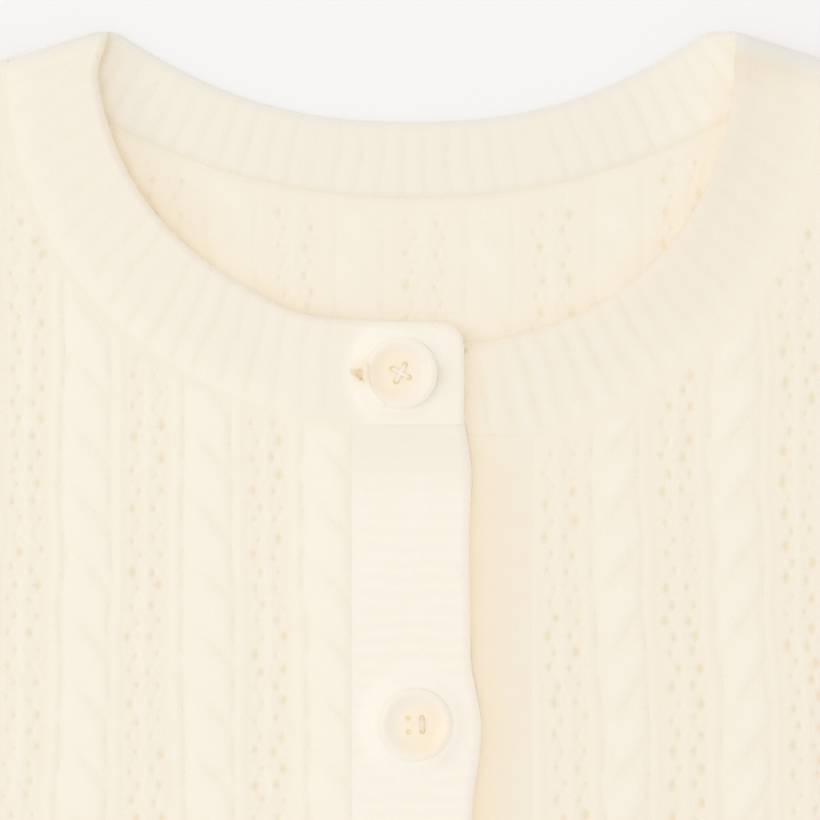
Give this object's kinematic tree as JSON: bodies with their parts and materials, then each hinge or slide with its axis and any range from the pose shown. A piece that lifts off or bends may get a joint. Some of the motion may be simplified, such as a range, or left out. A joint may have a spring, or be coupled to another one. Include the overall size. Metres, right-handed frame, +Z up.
{
  "type": "knit vest laid flat",
  "caption": "Baby's sleeveless knitted vest with rope cables and openwork columns, ribbed round neck, buttoned front band, armhole bands and hem, lying flat on its back.",
  "frame": {"origin": "on the surface that the vest lies on, under the middle of its box", "axes": "+Y towards the shoulders, +X towards the wearer's left side, +Z up, away from the surface"},
  "size_m": [0.298, 0.325, 0.0102],
  "materials": {
    "cream_knit": "soft knitted cotton and wool yarn, matte, slightly fuzzy",
    "cream_button": "polished cream resin"
  },
  "bodies": {
    "root": {"back_panel": "cream_knit", "front_right": "cream_knit", "front_left": "cream_knit", "neckband_back": "cream_knit", "neckband_right": "cream_knit", "neckband_left": "cream_knit", "buttonhole_band": "cream_knit", "button_band": "cream_knit", "armband_right_front": "cream_knit", "armband_right_back": "cream_knit", "armband_left_front": "cream_knit", "armband_left_back": "cream_knit", "hem_back": "cream_knit", "hem_right": "cream_knit", "hem_left": "cream_knit", "button_1": "cream_button", "button_2": "cream_button", "button_3": "cream_button", "button_4": "cream_button"}
  },
  "joints": []
}
